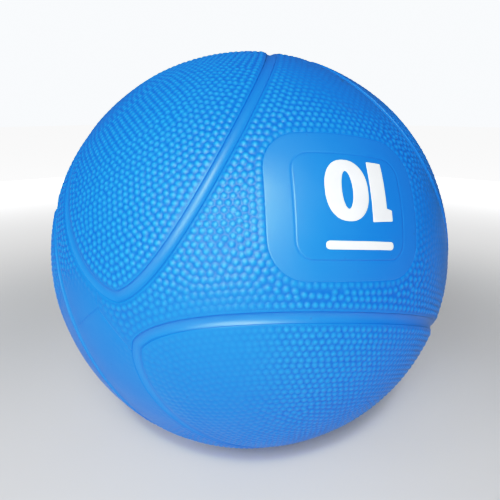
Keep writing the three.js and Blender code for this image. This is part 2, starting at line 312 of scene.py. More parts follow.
def scattered(spacing):
    """Points spread evenly over the whole ball, on a spiral."""
    count = round(4 * math.pi * BALL_RADIUS**2 / spacing**2)
    k = np.arange(count) + 0.5
    z = 1 - 2 * k / count
    turn = k * math.pi * (3 - math.sqrt(5))
    level = np.sqrt(1 - z * z)
    return np.stack([level * np.cos(turn), level * np.sin(turn), z], axis=1)


def smoothstep(low, high, values):
    t = np.clip((values - low) / (high - low), 0, 1)
    return t * t * (3 - 2 * t)


SCATTER = scattered(1.2)
FINE = scattered(2.6)
COARSE = scattered(6)
LABEL_FRAME = surface_frame(*LABEL_PLACE)
OVAL_LINES = {name: oval_outline(place) for name, place in OVALS.items()}
PATCH_LINE = rounded_rectangle(**LABEL_PATCH)
PLATE_LINE = rounded_rectangle(**LABEL_PLATE, spacing=0.6)
VALVE_LINE = circle_outline(VALVE_PLACE, VALVE_NECK_RADIUS + 2 * JOINT_GAP)
PANEL_EDGE = CHANNEL_WIDTH + 3 * JOINT_GAP  # from an oval's outline in to the edge of its panel


# --- Pebbles ---


class Spread:
    """Points kept at least a given distance apart."""

    def __init__(self, apart):
        self.apart = apart / BALL_RADIUS
        self.cells = {}
        self.points = []

    def cell(self, point):
        return tuple(int(v // self.apart) for v in point)

    def add(self, point):
        x, y, z = point
        i, j, k = self.cell(point)
        for di in (-1, 0, 1):
            for dj in (-1, 0, 1):
                for dk in (-1, 0, 1):
                    for a, b, c in self.cells.get((i + di, j + dj, k + dk), ()):
                        if (a - x) ** 2 + (b - y) ** 2 + (c - z) ** 2 < self.apart**2:
                            return
        self.keep((x, y, z))

    def keep(self, point):
        self.cells.setdefault(self.cell(point), []).append(point)
        self.points.append(point)

    def add_all(self, points):
        for point in points.tolist():
            self.add(point)


def pebble_rows(outline, first, count):
    """Rows of pebbles along an outline, the first at a distance inside it (or outside, below zero)
    and each row's pebbles opposite the gaps of the last. Gives each row's number and points."""
    step = math.copysign(PEBBLE_ROW, first)
    for number in range(count):
        distance = first + number * step
        since = number % ROWS_PER_WALK
        if since == 0:
            line = outline.moved(distance)
            line = line[np.abs(outline.depth(line) - distance) < 0.1]
            if len(line) < 12:
                return
            walk = Outline(line, PEBBLE_PITCH / 2, paired=True)
        row = walk.moved(since * step)[number % 2 :: 2]
        yield number, row[np.abs(outline.depth(row) - distance) < 0.3]


def tree_of(points):
    tree = KDTree(len(points))
    for k, point in enumerate(points):
        tree.insert(point, k)
    tree.balance()
    return tree


def refilled(points, candidates):
    """The points, and after them the candidates that lie furthest from them all, while there is room."""
    spread = Spread(FILL_APART)
    for point in points:
        spread.keep(point)
    tree = tree_of(points)
    far = np.array([tree.find(point)[2] for point in candidates])
    for k in np.argsort(-far):
        if far[k] < spread.apart:
            break
        spread.add(candidates[k].tolist())
    return np.array(spread.points)


def eased(points, held):
    """The points nudged apart towards the gaps left between them, except for the held ones."""
    for _ in range(EASINGS):
        tree = tree_of(points)
        found = [tree.find_range(point, EASING_REACH / BALL_RADIUS) for point in points]
        here = np.repeat(np.arange(len(points)), [len(near) for near in found])
        there = np.array([n[1] for near in found for n in near])
        apart = points[here] - points[there]
        away = np.maximum(np.linalg.norm(apart, axis=1), 1e-9)[:, None] * BALL_RADIUS
        push = np.zeros(points.shape)
        np.add.at(push, here, apart * (EASING_REACH - away) / away)
        push[held] = 0
        points = unit(points + EASING_STEP * push)
    return points


def pebble_rings(middle, count):
    """Rows of pebbles in rings about a place."""
    level = unit(np.cross(middle, (0, 0, 1)))
    upright = np.cross(middle, level)
    u = np.linspace(0, 2 * math.pi, 600, endpoint=False)[:, None]
    for number in range(1, count):
        arc = number * PEBBLE_ROW / BALL_RADIUS
        ring = middle * math.cos(arc) + (level * np.cos(u) + upright * np.sin(u)) * math.sin(arc)
        yield evenly(ring, PEBBLE_PITCH, 0.5 * (number % 2))


def oval_pebbles(name):
    outline = OVAL_LINES[name]
    first = PANEL_EDGE + OVAL_MARGIN
    spread = Spread(ROW_APART)
    rows = math.ceil(math.radians(OVAL_HALF_WIDTH) * BALL_RADIUS / PEBBLE_ROW)
    ringed = name in RINGED_OVALS
    for _, row in pebble_rows(outline, first, BORDER_ROWS if ringed else rows):
        spread.add_all(row)
    if ringed:
        middle = on_sphere(surface_frame(*OVALS[name]), *np.radians(RING_MIDDLE))
        inside = first + (BORDER_ROWS - 0.5) * PEBBLE_ROW
        for ring in pebble_rings(middle, 5 * rows):
            spread.add_all(ring[outline.depth(ring) > inside])
    points = refilled(spread.points, SCATTER[outline.depth(SCATTER) > first])
    return eased(points, outline.depth(points) < first + PEBBLE_ROW / 2)


def field_pebbles():
    """Rows of pebbles round every oval and the label's patch, which meet half-way between them."""
    outlines = [*OVAL_LINES.values(), PATCH_LINE]
    margins = [FIELD_MARGIN] * len(OVAL_LINES) + [PATCH_MARGIN]

    def beyond(points):
        return np.stack([-line.depth(points) - margin for line, margin in zip(outlines, margins)])

    spread = Spread(ROW_APART)
    walks = [pebble_rows(line, -margin, FIELD_ROWS) for line, margin in zip(outlines, margins)]
    for rows in zip(*walks):
        for own, (number, row) in enumerate(rows):
            others = np.min(np.delete(beyond(row), own, axis=0), axis=0)
            spread.add_all(row[others > (number - 0.4) * PEBBLE_ROW])
    points = refilled(spread.points, SCATTER[beyond(SCATTER).min(axis=0) > 0])
    return eased(points, beyond(points).min(axis=0) < PEBBLE_ROW / 2)


def relief_left(centres):
    """The share of its height that each pebble keeps."""
    share = np.ones(len(centres))
    for azimuth, elevation, left, near, far in SOFT_PLACES:
        away = np.arccos(np.clip(centres @ direction(azimuth, elevation), -1, 1)) * BALL_RADIUS
        share *= left + (1 - left) * smoothstep(near, far, away)
    clear = smoothstep(*PATCH_FADE, -PATCH_LINE.depth(centres))
    return share * (PATCH_RELIEF + (1 - PATCH_RELIEF) * clear)


def neighbours(centres, level, upright, most=9):
    """Each pebble's nearest others, as flat steps from its middle."""
    tree = tree_of(centres)
    near = np.array([[n[1] for n in tree.find_n(centre, most)] for centre in centres])
    steps = centres[near] - centres[:, None]
    along = np.einsum("nki,ni->nk", steps, level)
    across = np.einsum("nki,ni->nk", steps, upright)
    flat = np.stack([along, across], axis=-1)
    flat[near == np.arange(len(centres))[:, None]] = 1  # a pebble isn't its own neighbour
    return flat


def pebble_points(centres, skin):
    """The points of each pebble's dome, their radii, and how high up the pebble they are. A dome
    stops half-way to each of its neighbours."""
    count = len(centres)
    level = unit(np.cross(centres, np.where(np.abs(centres[:, 2:]) < 0.9, (0.0, 0, 1), (1.0, 0, 0))))
    upright = np.cross(centres, level)
    shift = random.normal(0, PEBBLE_STRAY, (count, 2)) / BALL_RADIUS
    centres = unit(centres + level * shift[:, :1] + upright * shift[:, 1:])
    relief = relief_left(centres)
    height = PEBBLE_HEIGHT * relief * random.uniform(*PEBBLE_SHARES, count)
    others = neighbours(centres, level, upright)
    points, radii = [centres], [skin + height]
    # These heights also set the painted shade in the valleys and the painted highlight on the pebble
    # tops.
    heights = [MIDDLE_HEIGHT + relief * (1 - MIDDLE_HEIGHT)]
    for share, corners in PEBBLE_RINGS:
        angles = random.uniform(0, 2 * math.pi, (count, 1)) + np.arange(corners) * 2 * math.pi / corners
        towards = np.stack([np.cos(angles), np.sin(angles)], axis=-1)
        facing = np.einsum("nci,nki->nck", towards, others)
        half_way = np.sum(others**2, axis=-1)[:, None] / np.maximum(2 * facing, 1e-9)
        arc = np.minimum(share * PEBBLE_RADIUS / BALL_RADIUS, PEBBLE_MEETING * half_way.min(axis=-1))
        ring = centres[:, None] + level[:, None] * (arc * towards[..., 0])[..., None]
        ring = ring + upright[:, None] * (arc * towards[..., 1])[..., None]
        lift = 1 - (arc * BALL_RADIUS / PEBBLE_RADIUS) ** 2
        points.append(unit(ring.reshape(-1, 3)))
        radii.append((skin + height[:, None] * lift).ravel())
        heights.append((MIDDLE_HEIGHT + relief[:, None] * (lift - MIDDLE_HEIGHT)).ravel())
    return np.vstack(points), np.concatenate(radii), np.concatenate(heights)


# --- Meshes ---


def make_object(name, points, triangles, material, slot, replaces, heights=None, sharp=50):
    """A mesh object in metres from points in millimetres, riding on the ball."""
    mesh = bpy.data.meshes.new(name)
    mesh.vertices.add(len(points))
    mesh.vertices.foreach_set("co", (points * MM).astype(np.float32).ravel())
    mesh.loops.add(triangles.size)
    mesh.loops.foreach_set("vertex_index", triangles.astype(np.int32).ravel())
    mesh.polygons.add(len(triangles))
    mesh.polygons.foreach_set("loop_start", np.arange(0, triangles.size, 3, dtype=np.int32))
    mesh.update(calc_edges=True)
    if heights is not None:
        attribute = mesh.attributes.new("height", "FLOAT", "POINT")
        attribute.data.foreach_set("value", heights.astype(np.float32))
    mesh.shade_smooth()
    mesh.set_sharp_from_angle(angle=math.radians(sharp))
    mesh.materials.append(material)
    piece = bpy.data.objects.new(name, mesh)
    bpy.context.scene.collection.objects.link(piece)
    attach(piece, "root")
    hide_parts(*replaces)


def flattened(axes, points):
    """Unit vectors laid flat from the far side of the ball, which keeps circles round."""
    scale = 2 / (1 + points @ axes[0])
    return np.stack([points @ axes[1] * scale, points @ axes[2] * scale], axis=1)


def raised(axes, flat):
    """The unit vectors of points that were laid flat."""
    square = np.sum(flat * flat, axis=1)[:, None]
    return (axes[0] * (4 - square) + 4 * (flat @ axes[1:])) / (4 + square)


def enclosed(triangles, walls, sure):
    """The triangles that can be reached from the sure ones without crossing a wall."""
    sides = {}
    for number, (a, b, c) in enumerate(triangles.tolist()):
        sides[a, b] = sides[b, c] = sides[c, a] = number
    reached, queue = set(), np.flatnonzero(sure).tolist()
    while queue:
        number = queue.pop()
        if number not in reached:
            reached.add(number)
            a, b, c = triangles[number].tolist()
            ways = [way for way in ((b, a), (c, b), (a, c)) if way in sides and way not in walls]
            queue += [sides[way] for way in ways]
    return triangles[sorted(reached)]


def triangulate(axes, points, edges, room, sure=1, closed=False):
    """Delaunay triangles between points on the ball, with the given edges, where there is room, or
    inside the edges if they are closed. Also gives each corner's unit vector and the number of the
    point it came from, or -1."""
    flat = [tuple(p) for p in flattened(axes, points).tolist()]
    corners, lines, faces, sources, given, _ = delaunay_2d_cdt(flat, edges, [], 0, 1e-7, True)
    source = np.array([s[0] if s else -1 for s in sources])
    places = raised(axes, np.array([tuple(c) for c in corners]))
    places[source >= 0] = points[source[source >= 0]]
    triangles = np.array(faces)
    share = room(unit(places[triangles].mean(axis=1)))
    walls = set()
    if closed:
        known = [tuple(line) for line, source_lines in zip(lines, given) if source_lines]
        walls = set(known) | {way[::-1] for way in known}
    else:
        triangles, share = triangles[share > 0], share[share > 0]
    triangles = enclosed(triangles, walls, share > sure)
    used, triangles = np.unique(triangles, return_inverse=True)
    return places[used], source[used], triangles.reshape(-1, 3)


def rim_edges(triangles):
    """The directed edges that only one triangle has."""
    edges = np.vstack([triangles[:, [0, 1]], triangles[:, [1, 2]], triangles[:, [2, 0]]])
    known = set(map(tuple, edges.tolist()))
    return np.array([e for e in edges.tolist() if (e[1], e[0]) not in known])


def lip_profile(lip, flat=0.0):
    """Steps of (distance from a piece's edge, drop below its skin) that round the edge."""
    shares = (0.1, 0.35, 1.0) if lip > FLUSH_LIP else (1.0,)
    steps = [(share * lip, lip - lip * math.sqrt(1 - (1 - share) ** 2)) for share in shares]
    return steps + [(lip + flat, 0.0)] if flat else steps


def lip_rings(line, side, skin, lip, flat):
    """Rings beside a border that round its edge, as points and radii. side is 1 on the inside."""
    profile = lip_profile(lip, flat)
    points = np.vstack([line.moved(side * x) for x, _ in profile])
    return points, np.repeat([skin - drop for _, drop in profile], len(line.points))


def loop_edges(count, start=0):
    return [(start + k, start + (k + 1) % count) for k in range(count)]


def band(lower, upper, count):
    """Triangles between two closed rows of points, given each row's first point."""
    k = np.arange(count)
    ahead = (k + 1) % count
    return [
        np.stack([lower + k, lower + ahead, upper + ahead], 1),
        np.stack([lower + k, upper + ahead, upper + k], 1),
    ]


def shell(name, place, borders, skin, room, extra, **finish):
    """A closed piece of the cover: a top of border lines, rounded lips and extra points, with walls
    down to a plain underside. Each border is (line, side, lip, flat), where an open row of unit
    vectors has no side. The extra points come with their radii and heights."""
    axes = surface_frame(*place)
    points, radii, heights, edges = [], [], [], []
    lips, lip_radii = [np.zeros((0, 3))], [np.zeros(0)]
    count = 0
    for border, side, lip, flat in borders:
        closed = isinstance(border, Outline)
        line = border.points if closed else border
        ahead = loop_edges(len(line), count)
        edges += ahead if closed else ahead[:-1]
        points.append(line)
        radii.append(np.full(len(line), skin - lip))
        count += len(line)
        if closed:
            ring, ring_radii = lip_rings(border, side, skin, lip, flat)
            lips.append(ring)
            lip_radii.append(ring_radii)
    heights.append(np.full(count, MIDDLE_HEIGHT))
    lips, lip_radii = np.vstack(lips), np.concatenate(lip_radii)
    kept = room(lips) > LEAST_ROOM
    points += [lips[kept], extra[0]]
    radii += [lip_radii[kept], extra[1]]
    heights += [np.full(kept.sum(), MIDDLE_HEIGHT), extra[2]]
    points, radii, heights = np.vstack(points), np.concatenate(radii), np.concatenate(heights)
    near = points @ axes[0] > -0.5  # the rest lies round the back
    number = np.cumsum(near) - 1
    edges = [(int(number[a]), int(number[b])) for a, b in edges if near[a] and near[b]]
    points, radii, heights = points[near], radii[near], heights[near]

    places, source, top = triangulate(axes, points, edges, room)
    new = source < 0
    radius = np.where(new, skin - LIP, radii[source])
    height = np.where(new, MIDDLE_HEIGHT, heights[source])

    rim_points, rim = np.unique(rim_edges(top), return_inverse=True)
    rim = rim.reshape(-1, 2)
    under = np.vstack([places[rim_points], COARSE[room(COARSE) > 2]])
    edges = [tuple(e) for e in rim.tolist()]
    low_places, low_source, low = triangulate(axes, under, edges, room, closed=True)
    start = len(places)
    below = np.full(len(rim_points), -1)
    from_rim = (low_source >= 0) & (low_source < len(rim_points))
    below[low_source[from_rim]] = np.flatnonzero(from_rim) + start
    a, b = rim_points[rim].T
    low_a, low_b = below[rim].T
    walls = np.vstack([np.stack([a, low_a, low_b], 1), np.stack([a, low_b, b], 1)])
    all_points = np.vstack([places * radius[:, None], low_places * COVER_INNER])
    all_triangles = np.vstack([top, walls, low[:, ::-1] + start])
    all_heights = np.concatenate([height, np.zeros(len(low_places))])
    make_object(name, all_points, all_triangles, heights=all_heights, **finish)


def near_only(place, room):
    """The same room, but only asked near a place, because far points would cost time."""
    middle = direction(*place[:2])

    def asked(points):
        found = np.full(len(points), -1.0)
        near = points @ middle > math.cos(math.radians(75))
        if near.any():
            found[near] = room(points[near])
        return found

    return asked


def oval_panel(name, material):
    place, outline = OVALS[name], OVAL_LINES[name]
    edge = Outline(outline.moved(PANEL_EDGE))
    room = near_only(place, edge.depth)
    pebbles = pebble_points(oval_pebbles(name), OVAL_SKIN)
    shell(
        f"moulded_oval_{name}", place, [(edge, 1, LIP, FLAT)], OVAL_SKIN, room, pebbles,
        material=material, slot="pebbled_rubber", replaces=[f"oval_panel_{name}"],
    )


def groove_strip(name, material):
    """A closed ring whose top is hollowed into a smooth groove."""
    outline = OVAL_LINES[name]
    across = np.linspace(JOINT_GAP, PANEL_EDGE - JOINT_GAP, GROOVE_POINTS)
    hollow = GROOVE_DEPTH * (1 - np.abs(np.linspace(-1, 1, GROOVE_POINTS)) ** GROOVE_ROUNDNESS)
    rows = [(x, FIELD_SKIN - GROOVE_EDGE - d) for x, d in zip(across, hollow)]
    rows += [(across[-1], COVER_INNER), (across[0], COVER_INNER)]
    count = len(outline.points)
    points = np.vstack([outline.moved(x) * radius for x, radius in rows])
    triangles = []
    for row in range(len(rows)):
        triangles += band(row * count, (row + 1) % len(rows) * count, count)
    make_object(
        f"groove_{name}", points, np.vstack(triangles), material, "smooth_rubber",
        [f"channel_strip_{name}"],
    )


def seam_planes(corners):
    """A field's three corners, its middle, and the inward normals of its three seam planes."""
    places = [direction(*SEAM_POINTS[c]) for c in corners]
    middle = unit(sum(places))
    normals = []
    for k in range(3):
        normal = unit(np.cross(places[k], places[(k + 1) % 3]))
        normals.append(normal * np.sign(normal @ middle))
    return places, middle, np.array(normals)


def seam_rows(places, normals):
    """Each seam as an open row of points just inside its plane, with rounded lips beside it."""
    borders, lips, radii = [], [], []
    for k, normal in enumerate(normals):
        start, end = places[k], places[(k + 1) % 3]
        length = math.acos(start @ end)
        tangent = unit(end - start * (start @ end))
        reach = SEAM_OVERRUN / BALL_RADIUS
        count = round(length * BALL_RADIUS / SEAM_STEP)
        arcs = np.linspace(-reach, length + reach, count)[:, None]
        line = start * np.cos(arcs) + tangent * np.sin(arcs)
        for offset, drop in [(0.0, SEAM_LIP), *lip_profile(SEAM_LIP)]:
            arc = (offset + SEAM_GAP / 2) / BALL_RADIUS
            moved = line * math.cos(arc) + normal * math.sin(arc)
            if offset == 0:
                borders.append(moved)
                continue
            lips.append(moved)
            radii.append(np.full(len(moved), FIELD_SKIN - drop))
    return borders, np.vstack(lips), np.concatenate(radii)


def field_panel(name, centres, material):
    places, middle, normals = seam_planes(FIELDS[name])
    azimuth = math.degrees(math.atan2(middle[0], -middle[1]))
    elevation = math.degrees(math.asin(middle[2]))
    holes = [(line, -1, LIP, FLAT) for line in OVAL_LINES.values()]
    if name == "front":
        holes.append((Outline(PATCH_LINE.moved(-FLUSH_GAP)), -1, FLUSH_LIP, 0))
    if name == "right":
        holes.append((VALVE_LINE, -1, LIP, FLAT))

    def room(points):
        found = np.min(np.arcsin(points @ normals.T), axis=1) * BALL_RADIUS - SEAM_GAP / 2
        for hole, *_ in holes:
            inside = found > 0
            if inside.any():
                found[inside] = np.minimum(found[inside], -hole.depth(points[inside]))
        return found

    rows, lips, lip_radii = seam_rows(places, normals)
    seam_kept = room(lips) > LEAST_ROOM
    own = centres[room(centres) > 1.5]
    if name == "right":
        own = own[-VALVE_LINE.depth(own) > 2.5]
    points, radii, heights = pebble_points(own, FIELD_SKIN)
    extra = (
        np.vstack([points, lips[seam_kept]]),
        np.concatenate([radii, lip_radii[seam_kept]]),
        np.concatenate([heights, np.full(seam_kept.sum(), MIDDLE_HEIGHT)]),
    )
    borders = [(row, None, SEAM_LIP, 0) for row in rows] + holes
    shell(
        f"pebbled_field_{name}", (azimuth, elevation, 0), borders, FIELD_SKIN, room, extra,
        material=material, slot="pebbled_rubber", replaces=[f"field_panel_{name}"],
    )


# --- Label ---


def label_patch(material):
    """The smooth patch, with a fine line sunk into it round the plate."""
    room = near_only(LABEL_PLACE, PATCH_LINE.depth)
    points = FINE[room(FINE) > 1.6]
    away = -PLATE_LINE.depth(points)
    points = points[(away > 2.6) | (away < -1.6)]
    radii = np.full(len(points), FIELD_SKIN)
    sunk = PLATE_LINE_DEPTH
    for offset, drop in ((2.0, 0), (1.2, 0), (0.7, 0), (0.4, sunk), (0.05, sunk), (-0.6, sunk)):
        ring = PLATE_LINE.moved(-offset)
        points = np.vstack([points, ring])
        radii = np.concatenate([radii, np.full(len(ring), FIELD_SKIN - drop)])
    shell(
        "label_skin", LABEL_PLACE, [(PATCH_LINE, 1, FLUSH_LIP, FLAT)], FIELD_SKIN, room,
        (points, radii, np.zeros(len(points))),
        material=material, slot="smooth_rubber", replaces=["label_patch"],
    )


def raised_sheet(name, line, holes, top, bottom, lip, material, slot, replaces):
    """A thin sheet that follows the ball inside a line and outside its holes."""

    def inside(points):
        found = line.depth(points)
        for hole in holes:
            found = np.minimum(found, -hole.depth(points))
        return found

    room = near_only(LABEL_PLACE, inside)
    rings = [(line, 1)] + [(hole, -1) for hole in holes]
    loops, edges, points = [], [], []
    count = 0
    for loop, side in rings:
        edges += loop_edges(len(loop.points), count)
        loops.append(loop.points)
        count += len(loop.points)
        for offset in (lip, lip + FLAT):
            ring = loop.moved(side * offset)
            points.append(ring[room(ring) > 0.8 * offset])
    inner = np.vstack(points + [FINE[room(FINE) > 1.4]])
    all_points = np.vstack(loops + [inner])
    all_radii = np.concatenate([np.full(count, top - lip), np.full(len(inner), top)])
    axes = surface_frame(*LABEL_PLACE)
    places, source, upper = triangulate(axes, all_points, edges, room, sure=lip, closed=True)
    start = len(places)
    a, b = rim_edges(upper).T
    walls = np.vstack([np.stack([a, a + start, b + start], 1), np.stack([a, b + start, b], 1)])
    solid = np.vstack([places * all_radii[source][:, None], places * bottom])
    triangles = np.vstack([upper, walls, upper[:, ::-1] + start])
    make_object(name, solid, triangles, material, slot, [replaces])


def label_plate(material):
    top = FIELD_SKIN + PLATE_RISE
    bottom = FIELD_SKIN - PLATE_LINE_DEPTH
    raised_sheet(
        "label_plate_film", PLATE_LINE, [], top, bottom, PLATE_LIP, material, "label_film", "label_plate"
    )


def egg_outline(half_width, half_height, bulge):
    """A closed line round the zero's middle."""
    u = np.linspace(0, 2 * math.pi, 400, endpoint=False)
    x = ZERO_X + half_width * np.sign(np.cos(u)) * np.abs(np.cos(u)) ** bulge
    y = DIGIT_MIDDLE + half_height * np.sign(np.sin(u)) * np.abs(np.sin(u)) ** bulge
    return Outline(label_points(x, y), PRINT_STEP)


def one_outline():
    """The digit one: a stem, and a flag beside its lower end."""
    high, low = DIGIT_MIDDLE + DIGIT_HEIGHT / 2, DIGIT_MIDDLE - DIGIT_HEIGHT / 2
    meeting = low + FLAG_HIGH + FLAG_RISE
    flag = [(FLAG_RIGHT, low + FLAG_LOW), (FLAG_RIGHT, low + FLAG_HIGH)]
    stem = [(ONE_RIGHT, meeting), (ONE_RIGHT, high), (ONE_LEFT, high), (ONE_LEFT, low)]
    flat = rounded_corners(flag + stem, radius=0.35, steps=4)
    return Outline(label_points(flat[:, 0], flat[:, 1]), spacing=0.3)


def label_print(material):
    plate = FIELD_SKIN + PLATE_RISE
    zero = egg_outline(ZERO_HALF_WIDTH, DIGIT_HEIGHT / 2, ZERO_BULGE)
    hole = egg_outline(ZERO_HOLE_HALF_WIDTH, DIGIT_HEIGHT / 2 - ZERO_STROKE, 1)
    bar = rounded_rectangle(**BAR, spacing=PRINT_STEP)
    for name, line, holes, replaces in (
        ("printed_zero", zero, [hole], "print_digit_zero"),
        ("printed_one", one_outline(), [], "print_digit_one"),
        ("printed_bar", bar, [], "print_bar"),
    ):
        raised_sheet(
            name, line, holes, plate + PRINT_RISE, plate - PRINT_SUNK, PRINT_LIP,
            material, "white_print", replaces,
        )


# --- Valve ---


def turned(name, profile, material, slot, replaces, segments=64):
    """A body turned about the X axis from (distance from the axis, x) corners, from the inside out."""
    angles = np.arange(segments) * 2 * math.pi / segments
    rows = [(r, x) for r, x in profile if r > 0]
    rings = [
        np.stack([np.full(segments, x), r * np.cos(angles), r * np.sin(angles)], axis=1) for r, x in rows
    ]
    k = np.arange(segments)
    ahead = (k + 1) % segments
    triangles = []
    for row in range(len(rows) - 1):
        triangles += band(row * segments, (row + 1) * segments, segments)
    first, last = len(rows) * segments, len(rows) * segments + 1
    triangles.append(np.stack([np.full(segments, first), ahead, k], 1))
    top = (len(rows) - 1) * segments
    triangles.append(np.stack([top + k, top + ahead, np.full(segments, last)], 1))
    ends = np.array([[profile[0][1], 0, 0], [profile[-1][1], 0, 0]])
    make_object(name, np.vstack(rings + [ends]), np.vstack(triangles), material, slot, replaces, sharp=35)


def valve(material):
    face = BALL_RADIUS - VALVE_FACE_DEPTH
    flange = BALL_RADIUS - VALVE_FLANGE_DEPTH
    back = flange - VALVE_FLANGE_THICKNESS
    rim, neck, head, stem = VALVE_FLANGE_RADIUS, VALVE_NECK_RADIUS, CORE_HEAD_RADIUS, CORE_STEM_RADIUS
    under_head = face - CORE_HEAD_THICKNESS
    seat = under_head - CORE_GAP
    end = face - CORE_LENGTH
    sleeve = [
        (0, back), (rim - 0.5, back), (rim, back + 0.5), (rim, flange - 0.5), (rim - 0.5, flange),
        (neck + 1.2, flange), (neck, flange + 1.2), (neck, face - 0.9), (neck - 0.1, face - 0.45),
        (neck - 0.4, face - 0.12), (neck - 0.8, face), (head + 0.55, face), (head + 0.3, face - 0.2),
        (head + 0.2, face - 0.5), (head + 0.2, seat), (stem + 0.2, seat),
        (stem + 0.2, end - CORE_GAP), (0, end - CORE_GAP),
    ]
    plug = [
        (0, end), (stem - 0.4, end), (stem, end + 0.4), (stem, under_head), (head - 0.1, under_head),
        (head, under_head + 0.1), (head, face - 0.4), (head - 0.1, face - 0.15),
        (head - 0.4, face - 0.02), (2.6, face - 0.02), (1.4, face - 0.3), (0.7, face - 0.8),
        (0.45, face - 1.6), (0, face - 2.2),
    ]
    turned("valve_sleeve", sleeve, material, "valve_rubber", ["valve_housing"])
    turned("valve_plug", plug, material, "valve_rubber", ["valve_core"])


# --- Materials ---


class Nodes:
    """A new material's nodes, with short ways to add and join them."""

    def __init__(self, name):
        self.material = bpy.data.materials.new(name)
        self.material.use_nodes = True
        self.tree = self.material.node_tree
        self.shader = self.tree.nodes["Principled BSDF"]
        self.place = self.add("ShaderNodeTexCoord").outputs["Object"]

    def add(self, kind, **values):
        node = self.tree.nodes.new(kind)
        for key, value in values.items():
            setattr(node, key, value)
        return node

    def join(self, output, socket):
        self.tree.links.new(output, socket)

    def noise(self, scale, detail=3.0, roughness=0.5, distortion=0.0):
        node = self.add("ShaderNodeTexNoise")
        node.inputs["Scale"].default_value = scale
        node.inputs["Detail"].default_value = detail
        node.inputs["Roughness"].default_value = roughness
        node.inputs["Distortion"].default_value = distortion
        self.join(self.place, node.inputs["Vector"])
        return node.outputs["Fac"]

    def spread(self, value, low, high, to_low=0.0, to_high=1.0):
        """A value between low and high, brought between to_low and to_high and no further."""
        node = self.add("ShaderNodeMapRange", interpolation_type="SMOOTHSTEP")
        self.join(value, node.inputs["Value"])
        ends = {"From Min": low, "From Max": high, "To Min": to_low, "To Max": to_high}
        for socket, number in ends.items():
            node.inputs[socket].default_value = number
        return node.outputs["Result"]

    def mixed(self, share, first, second):
        """A colour between two, each an output or plain numbers."""
        node = self.add("ShaderNodeMix", data_type="RGBA")
        self.join(share, node.inputs["Factor"])
        for socket, colour in ((node.inputs[6], first), (node.inputs[7], second)):
            if isinstance(colour, tuple):
                socket.default_value = (*colour, 1)
            else:
                self.join(colour, socket)
        return node.outputs[2]

    def sums(self, operation, first, second):
        node = self.add("ShaderNodeMath", operation=operation)
        for socket, value in zip(node.inputs, (first, second)):
            if isinstance(value, (int, float)):
                socket.default_value = value
            else:
                self.join(value, socket)
        return node.outputs[0]

    def near(self, azimuth, elevation, reach, most):
        """A value that falls from most to nothing at a reach from a place on the ball."""
        node = self.add("ShaderNodeVectorMath", operation="DISTANCE")
        self.join(self.place, node.inputs[0])
        node.inputs[1].default_value = direction(azimuth, elevation) * BALL_RADIUS * MM
        return self.spread(node.outputs["Value"], 0, reach * MM, most, 0)

    def bump(self, height, strength, distance):
        node = self.add("ShaderNodeBump")
        node.inputs["Strength"].default_value = strength
        node.inputs["Distance"].default_value = distance
        self.join(height, node.inputs["Height"])
        self.join(node.outputs["Normal"], self.shader.inputs["Normal"])

    def colour(self, output):
        self.join(output, self.shader.inputs["Base Color"])

    def roughness(self, output):
        self.join(output, self.shader.inputs["Roughness"])


AZURE = (0.003, 0.178, 0.62)
AZURE_DEEP = (0.002, 0.160, 0.58)
# Painted highlight on the pebble tops; the same colour is also the rubber showing where the print has
# chipped.
AZURE_HIGHLIGHT_AND_CHIP = (0.012, 0.252, 0.74)
# Painted shade: this darker colour between the pebbles stands in for the shadow in their valleys.
AZURE_VALLEY_SHADE = (0.001, 0.112, 0.50)
SCUFF = (0.03, 0.10, 0.22)

# Marks that use has left: azimuth, elevation, reach in millimetres and how dark they are.
SCUFFS = ((4.5, 58.7, 6, 0.75), (7.5, 56.5, 4, 0.6), (-0.2, -1.6, 2.2, 0.7), (-11.4, 47.9, 7, 0.3))


def azure_rubber(name, bump, rough_low, rough_high, pebbled=False):
    """Moulded blue rubber: soft drifts of tone, painted shade in the pebbles' valleys and a painted
    highlight on their tops, a few scuffs and a fine grain.
    """
    nodes = Nodes(name)
    drift = nodes.spread(nodes.noise(9, 2), 0.3, 0.7)
    base = nodes.mixed(drift, AZURE_DEEP, AZURE)
    if pebbled:
        height = nodes.add("ShaderNodeAttribute", attribute_name="height").outputs["Fac"]
        # Painted shade darkens the valleys between pebbles, from the middle height down.
        base = nodes.mixed(nodes.spread(height, 0, MIDDLE_HEIGHT, 0.75, 0), base, AZURE_VALLEY_SHADE)
        # Painted highlight lightens the pebble tops, from the middle height up.
        base = nodes.mixed(nodes.spread(height, MIDDLE_HEIGHT, 1.0, 0, 0.85), base, AZURE_HIGHLIGHT_AND_CHIP)
    marks = nodes.spread(nodes.noise(520, 1, 0.3), 0.77, 0.81, 0, 0.35)
    broken = nodes.spread(nodes.noise(260, 4, 0.6), 0.35, 0.6)
    for azimuth, elevation, reach, dark in SCUFFS:
        mark = nodes.sums("MULTIPLY", nodes.near(azimuth, elevation, reach, dark), broken)
        marks = nodes.sums("MAXIMUM", marks, mark)
    nodes.colour(nodes.mixed(marks, base, SCUFF))
    shine = nodes.spread(nodes.noise(48, 4, 0.6), 0.3, 0.7, rough_low, rough_high)
    nodes.roughness(nodes.sums("ADD", shine, nodes.spread(marks, 0, 0.6, 0, 0.15)))
    grain = nodes.noise(2600, 2, 0.6)
    waves = nodes.noise(150, 2, 0.5)
    nodes.bump(nodes.sums("ADD", nodes.sums("MULTIPLY", grain, 0.25), waves), bump, 0.0002)
    nodes.shader.inputs["Specular IOR Level"].default_value = 0.28 if pebbled else 0.55
    return nodes.material


